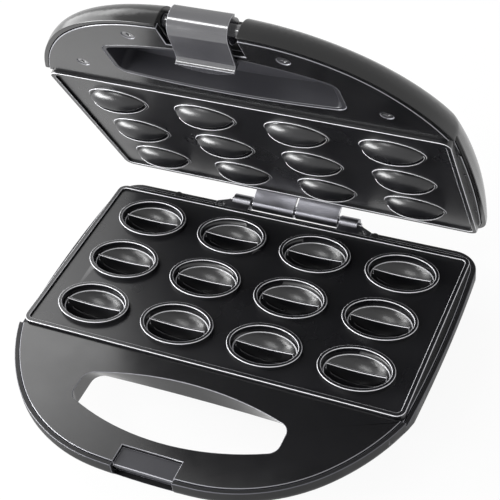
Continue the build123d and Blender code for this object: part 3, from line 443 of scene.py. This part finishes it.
@dataclass
class Assembly:
    """A group of pieces that rides on one body.

    Attributes:
        body: The body that carries the pieces.
        smooth_angle: Faces that meet at less than this many degrees are shaded as one curve.
        edge_angle: Outer edges that turn by more than this many degrees are rounded.
        edge_segments: Strips of faces across a rounded edge.
        screw_edge_mm: Width of the rounding on a screw's head.
        merge_mm: Points of a mesh that lie closer than this become one.
        flat_angle: Neighbouring faces that differ by fewer degrees become one.
    """

    body: str
    smooth_angle: float = 32.0
    edge_angle: float = 40.0
    edge_segments: int = 2
    screw_edge_mm: float = 0.15
    merge_mm: float = 0.002
    flat_angle: float = 0.4

    def dress(self, node: str, finish: Finish) -> None:
        """Give a node of the frame its finish.

        Args:
            node: The node of the frame.
            finish: Its finish.
        """
        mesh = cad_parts[node].data
        mesh.materials.clear()
        mesh.materials.append(finish.build())
        LOG.info("dressed %s with %s", node, finish.name)

    def copy(self, node: str) -> bpy.types.Object:
        """Copy a node's mesh into a new piece, with its doubles merged and flat faces joined.

        Args:
            node: The node of the frame.

        Returns:
            The new piece.
        """
        piece = bpy.data.objects.new(f"{node}_skin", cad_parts[node].data.copy())
        bpy.context.scene.collection.objects.link(piece)
        select_only(piece)
        bpy.ops.object.mode_set(mode="EDIT")
        bpy.ops.mesh.select_all(action="SELECT")
        bpy.ops.mesh.remove_doubles(threshold=self.merge_mm * MILLIMETRE)
        bpy.ops.mesh.dissolve_limited(angle_limit=radians(self.flat_angle))
        bpy.ops.object.mode_set(mode="OBJECT")
        return piece

    def mark_outer_edges(self, mesh: bpy.types.Mesh) -> None:
        """Weight the sharp outer edges for the bevel, and leave the inner corners.

        Args:
            mesh: The piece's mesh.
        """
        limit = radians(self.edge_angle)
        form = bmesh.new()
        form.from_mesh(mesh)
        weights = [
            float(edge.is_manifold and edge.calc_face_angle_signed(0.0) > limit)
            for edge in form.edges
        ]
        form.free()
        marks = mesh.attributes.new("bevel_weight_edge", "FLOAT", "EDGE")
        marks.data.foreach_set("value", weights)

    def round_edges(self, piece: bpy.types.Object, edge_mm: float) -> None:
        """Round the sharp outer edges and mark their faces for the painted edge highlight.

        Args:
            piece: The piece.
            edge_mm: Width of the rounding.
        """
        mesh = piece.data
        self.mark_outer_edges(mesh)
        bevel = piece.modifiers.new("edge", "BEVEL")
        bevel.width = edge_mm * MILLIMETRE
        bevel.segments = self.edge_segments
        bevel.limit_method = "WEIGHT"
        bevel.use_clamp_overlap = False
        # The bevel puts its faces in the second of two empty slots, which tells them apart.
        bevel.material = 1
        mesh.materials.append(None)
        mesh.materials.append(None)
        bpy.ops.object.modifier_apply(modifier=bevel.name)
        # The bevel's faces are the ones that get the painted edge highlight.
        marks = [float(face.material_index) for face in mesh.polygons]
        painted_edge_highlight = mesh.attributes.new(EDGE_HIGHLIGHT_ATTRIBUTE, "FLOAT", "FACE")
        painted_edge_highlight.data.foreach_set("value", marks)
        mesh.polygons.foreach_set("material_index", [0] * len(marks))
        even = piece.modifiers.new("even", "WEIGHTED_NORMAL")
        even.keep_sharp = True
        bpy.ops.object.modifier_apply(modifier=even.name)

    def skin(
        self,
        node: str,
        finish: Finish,
        edge_mm: float = 0.0,
        piece: bpy.types.Object | None = None,
    ) -> None:
        """Cover a node with a smooth piece, whose edges can be slightly rounded and given a painted
        highlight.

        Args:
            node: The node of the frame.
            finish: The finish of the piece.
            edge_mm: Width of the rounding along sharp edges, or 0 for none.
            piece: The piece, or none for a copy of the node.
        """
        piece = piece or self.copy(node)
        select_only(piece)
        bpy.ops.object.shade_smooth_by_angle(angle=radians(self.smooth_angle))
        if edge_mm:
            self.round_edges(piece, edge_mm)
        piece.data.materials.clear()
        piece.data.materials.append(finish.build())
        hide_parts(node)
        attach(piece, self.body)
        LOG.info("built %s, %d faces", piece.name, len(piece.data.polygons))


@dataclass
class BaseHalf(Assembly):
    """Lower half: housing, deck, mould plate, catch, feet and what the base holds inside.

    Attributes:
        edge_mm: Width of the rounding along the mouldings' edges.
        plate_edge_mm: The same on the cast plate.
    """

    body: str = "base"
    edge_mm: float = 0.35
    plate_edge_mm: float = 0.3

    def build(self) -> None:
        """Build every piece of the base."""
        self.skin("lower_housing", MATT_PBT, self.edge_mm)
        self.skin("lower_deck", SATIN_PBT, self.edge_mm)
        self.skin("lower_plate", PTFE_COATING, self.plate_edge_mm)
        self.skin("latch_catch", CATCH_NYLON, self.edge_mm)
        for node in ("rubber_feet", "cord_grommet", "rear_stops"):
            self.skin(node, RUBBER)
        for node, finish in (
            ("lower_heater", HEATER_SHEATH),
            ("lower_heat_shield", ALUMINISED),
            ("lower_plate_screws", ZINC_SCREW),
            ("thermostat", THERMOSTAT_CAN),
            ("thermal_fuse", CERAMIC),
            ("terminal_block", THERMOSET),
            ("terminal_screws", BRASS),
            ("base_screws", ZINC_SCREW),
        ):
            self.dress(node, finish)


@dataclass
class LidHalf(Assembly):
    """Upper half: domed shell, deck with its finger cup, bump plate, lenses and what it holds.

    Attributes:
        edge_mm: Width of the rounding along the mouldings' edges.
        plate_edge_mm: The same on the cast plate.
        open_degrees: How far the lid stands open.
        hinge_mm: The hinge pin's middle.
        hinge_reach_mm: From the plate's middle back to the pin.
        hinge_depth_mm: From the pin's height up to the zero of the lid's own directions.
        face_mm: Height of the plate's face in the lid's own directions.
        face_gap_mm: Points within this of the face belong to the face.
        bump_share: Height of the real bumps as a share of the copied ones.
        bump_reach_mm: Half the length and half the width of a bump's foot, with some room.
        columns_mm: Distances of the bumps' columns from the middle.
        rows_mm: Places of the bumps' rows.
    """

    body: str = "lid"
    edge_mm: float = 0.35
    plate_edge_mm: float = 0.25
    open_degrees: float = 62.0
    hinge_mm: Place = (0.0, 87.9995, 35.6)
    hinge_reach_mm: float = 70.7
    hinge_depth_mm: float = 4.9
    face_mm: float = 1.6
    face_gap_mm: float = 0.01
    bump_share: float = 0.73
    bump_reach_mm: tuple[float, float] = (18.0, 11.6)
    columns_mm: tuple[float, ...] = (25.25, 75.75)
    rows_mm: tuple[float, ...] = (-36.2, 0.0, 36.2)

    def axes(self) -> Matrix:
        """Give the lid's own directions, in which its plate lies flat with its middle at zero.

        Returns:
            The matrix from the lid's own directions to the world.
        """
        inset_mm = Vector((0, -self.hinge_reach_mm, self.hinge_depth_mm))
        hinge = Matrix.Translation(Vector(self.hinge_mm) * MILLIMETRE)
        inset = Matrix.Translation(inset_mm * MILLIMETRE)
        return hinge @ Matrix.Rotation(-radians(self.open_degrees), 4, "X") @ inset

    def on_bump(self, place: Vector) -> bool:
        """Tell whether a point belongs to a bump.

        Args:
            place: The point, in the lid's own directions.

        Returns:
            True for a point of a bump, its foot or its hollow below the plate's face.
        """
        along = min(abs(abs(place.x) - x * MILLIMETRE) for x in self.columns_mm)
        across = min(abs(place.y - y * MILLIMETRE) for y in self.rows_mm)
        half_length, half_width = (reach * MILLIMETRE for reach in self.bump_reach_mm)
        inside = (along / half_length) ** 2 + (across / half_width) ** 2 < 1
        return inside and place.z < (self.face_mm - self.face_gap_mm) * MILLIMETRE

    def lower_bumps(self, plate: bpy.types.Object) -> None:
        """Press the walnut bumps towards the plate's face, to the height of the real ones.

        Args:
            plate: The copied plate.
        """
        mesh, axes = plate.data, self.axes()
        mesh.transform(axes.inverted())
        for group in (mesh.edges, mesh.polygons):
            group.foreach_set("select", [False] * len(group))
        for vertex in mesh.vertices:
            vertex.select = self.on_bump(vertex.co)
        select_only(plate)
        bpy.ops.object.mode_set(mode="EDIT")
        face = (0, 0, self.face_mm * MILLIMETRE)
        bpy.ops.transform.resize(value=(1, 1, self.bump_share), center_override=face)
        bpy.ops.object.mode_set(mode="OBJECT")
        mesh.transform(axes)

    def build(self) -> None:
        """Build every piece of the lid."""
        self.skin("upper_shell", GLOSS_ABS, self.edge_mm)
        self.skin("upper_deck", SATIN_PBT, self.edge_mm)
        self.skin("upper_grip_cup", CUP_PBT, self.edge_mm)
        plate = self.copy("upper_plate")
        self.lower_bumps(plate)
        self.skin("upper_plate", PTFE_COATING, self.plate_edge_mm, plate)
        self.skin("upper_deck_screws", ZINC_SCREW, self.screw_edge_mm)
        self.skin("power_lens", RED_LENS)
        self.skin("ready_lens", GREEN_LENS)
        for node, finish in (
            ("upper_heater", HEATER_SHEATH),
            ("upper_heat_shield", ALUMINISED),
            ("upper_plate_screws", ZINC_SCREW),
            ("lid_hinge_screws", ZINC_SCREW),
            ("indicator_lamps", LAMP_GLASS),
            ("latch_pin", WIRE_STEEL),
        ):
            self.dress(node, finish)


@dataclass
class Hinge(Assembly):
    """Pin and outer brackets on the base, and the lid's bracket with its two long barrels.

    Attributes:
        edge_mm: Width of the rounding along the metal's edges.
        turning_body: The body that the hinge lets turn.
    """

    body: str = "base"
    edge_mm: float = 0.25
    turning_body: str = "lid"

    def build(self) -> None:
        """Build the pieces that stay with the base, then the one that turns."""
        for side in ("left", "right"):
            self.skin(f"hinge_bracket_{side}", ZINC_BRACKET, self.edge_mm)
        self.skin("hinge_pin", WIRE_STEEL, self.edge_mm)
        self.skin("base_hinge_screws", ZINC_SCREW, self.screw_edge_mm)
        self.body = self.turning_body
        self.skin("lid_hinge_bracket", NICKEL_STEEL, self.edge_mm)


@dataclass
class Latch(Assembly):
    """Swinging latch with its rounded barrel and finger lip.

    Attributes:
        edge_mm: Width of the rounding along its edges.
    """

    body: str = "latch"
    edge_mm: float = 0.2

    def build(self) -> None:
        """Build the latch."""
        self.skin("latch", GREY_NYLON, self.edge_mm)


@dataclass(frozen=True)
class Lamp:
    """A soft rectangular lamp.

    Attributes:
        name: The lamp's name.
        place: Where it hangs, in metres.
        aim: What it points at, in metres.
        size: Its width and height in metres.
        watts: Its power.
    """

    name: str
    place: Place
    aim: Place
    size: tuple[float, float]
    watts: float

    def hang(self) -> None:
        """Put the lamp in the scene."""
        data = bpy.data.lights.new(self.name, "AREA")
        data.shape = "RECTANGLE"
        data.size, data.size_y = self.size
        data.energy = self.watts
        lamp = bpy.data.objects.new(self.name, data)
        lamp.location = self.place
        beam = Vector(self.aim) - Vector(self.place)
        lamp.rotation_euler = beam.to_track_quat("-Z", "Y").to_euler()
        bpy.context.scene.collection.objects.link(lamp)


@dataclass
class Studio:
    """Pale floor, soft lamps, white surround and the camera.

    Attributes:
        camera_mm: Camera position.
        azimuth: Degrees that the view turns to the right of the front.
        elevation: Degrees that the view looks down.
        roll: Degrees that the camera leans.
        focal_mm: Focal length.
        sensor_mm: Width of the camera's sensor.
        sight: Nearest and farthest distance that the camera sees, in metres.
        floor_side: Length of the floor's side in metres.
        floor_cells: Cells along the floor's side.
        floor_white: Share of plain white in what the camera and reflections see of the floor.
        surround_light: Strength of the surround as a light. What is seen of it has strength 1.
        lamps: The soft lamps.
    """

    camera_mm: Place = (242.14, -424.86, 530.99)
    azimuth: float = 28.229
    elevation: float = 42.553
    roll: float = -7.309
    focal_mm: float = 93.38
    sensor_mm: float = 36.0
    sight: tuple[float, float] = (0.01, 50.0)
    floor_side: float = 12.0
    floor_cells: int = 4
    floor_white: float = 0.92
    surround_light: float = 0.7
    lamps: tuple[Lamp, ...] = (
        Lamp("softbox_left", (-1.0, 0.12, 0.42), (0, 0, 0.08), (1.2, 0.8), 8),
        Lamp("softbox_low_left", (-0.75, -0.5, 0.2), (0, 0, 0.14), (0.7, 0.3), 13),
        Lamp("strip_front", (-0.38, -0.6, 0.95), (0, 0, 0.15), (0.5, 0.14), 2.5),
        Lamp("softbox_rear_left", (-0.95, 0.62, 0.92), (0, 0, 0.04), (0.6, 0.6), 2.2),
    )

    def camera(self) -> None:
        """Set the camera at the photograph's viewpoint."""
        az, el, roll = (radians(v) for v in (self.azimuth, self.elevation, self.roll))
        back = Vector((sin(az) * cos(el), -cos(az) * cos(el), sin(el)))
        level = Vector((cos(az), sin(az), 0))
        above = back.cross(level)
        right = level * cos(roll) + above * sin(roll)
        up = above * cos(roll) - level * sin(roll)
        data = bpy.data.cameras.new("camera")
        data.lens = self.focal_mm
        data.sensor_width = self.sensor_mm
        data.sensor_fit = "HORIZONTAL"
        data.clip_start, data.clip_end = self.sight
        eye = bpy.data.objects.new("camera", data)
        turn = Matrix((right, up, back)).transposed().to_4x4()
        eye.matrix_world = Matrix.Translation(Vector(self.camera_mm) * MILLIMETRE) @ turn
        bpy.context.scene.collection.objects.link(eye)
        bpy.context.scene.camera = eye

    def floor(self) -> None:
        """Lay the pale floor, near white to the camera and in reflections, with its shadow."""
        bpy.ops.object.select_all(action="DESELECT")
        bpy.ops.mesh.primitive_grid_add(
            x_subdivisions=self.floor_cells,
            y_subdivisions=self.floor_cells,
            size=self.floor_side,
            location=(0, 0, 0),
        )
        floor = bpy.context.active_object
        floor.name = "studio_floor"
        material = bpy.data.materials.new("matt_white_paper")
        tree = fresh_tree(material)
        paper = add_node(tree, "ShaderNodeBsdfDiffuse", {"Color": linear("f4f4f4")})
        white = add_node(tree, "ShaderNodeEmission", {"Color": WHITE, "Strength": 1.0})
        share = add_node(
            tree,
            "ShaderNodeMath",
            {"operation": "MULTIPLY", 1: self.floor_white},
            {0: ray_is(tree, ("Is Camera Ray", "Is Glossy Ray"))},
        )
        mixed = add_node(
            tree,
            "ShaderNodeMixShader",
            links={0: share.outputs[0], 1: paper.outputs[0], 2: white.outputs[0]},
        )
        add_node(tree, "ShaderNodeOutputMaterial", links={"Surface": mixed.outputs[0]})
        floor.data.materials.append(material)

    def surround(self) -> None:
        """Light the world evenly, and show it white to the camera, in gloss and through glass."""
        world = bpy.data.worlds.new("white_surround")
        tree = fresh_tree(world)
        strength = add_node(
            tree,
            "ShaderNodeMapRange",
            {"From Min": 0.0, "From Max": 1.0, "To Min": self.surround_light, "To Max": 1.0},
            {"Value": ray_is(tree, ("Is Camera Ray", "Is Transmission Ray", "Is Glossy Ray"))},
        )
        sky = add_node(
            tree,
            "ShaderNodeBackground",
            {"Color": WHITE},
            {"Strength": strength.outputs["Result"]},
        )
        add_node(tree, "ShaderNodeOutputWorld", links={"Surface": sky.outputs[0]})
        bpy.context.scene.world = world

    def build(self) -> None:
        """Set up floor, surround, lamps, plain colour and camera."""
        self.floor()
        self.surround()
        for lamp in self.lamps:
            lamp.hang()
        bpy.context.scene.view_settings.view_transform = "Standard"
        self.camera()


def main() -> None:
    """Build the classes in order."""
    logging.basicConfig(level=logging.INFO, format="%(name)s: %(message)s")
    BaseHalf().build()
    LidHalf().build()
    Hinge().build()
    Latch().build()
    Studio().build()


if __name__ == "__main__":
    main()
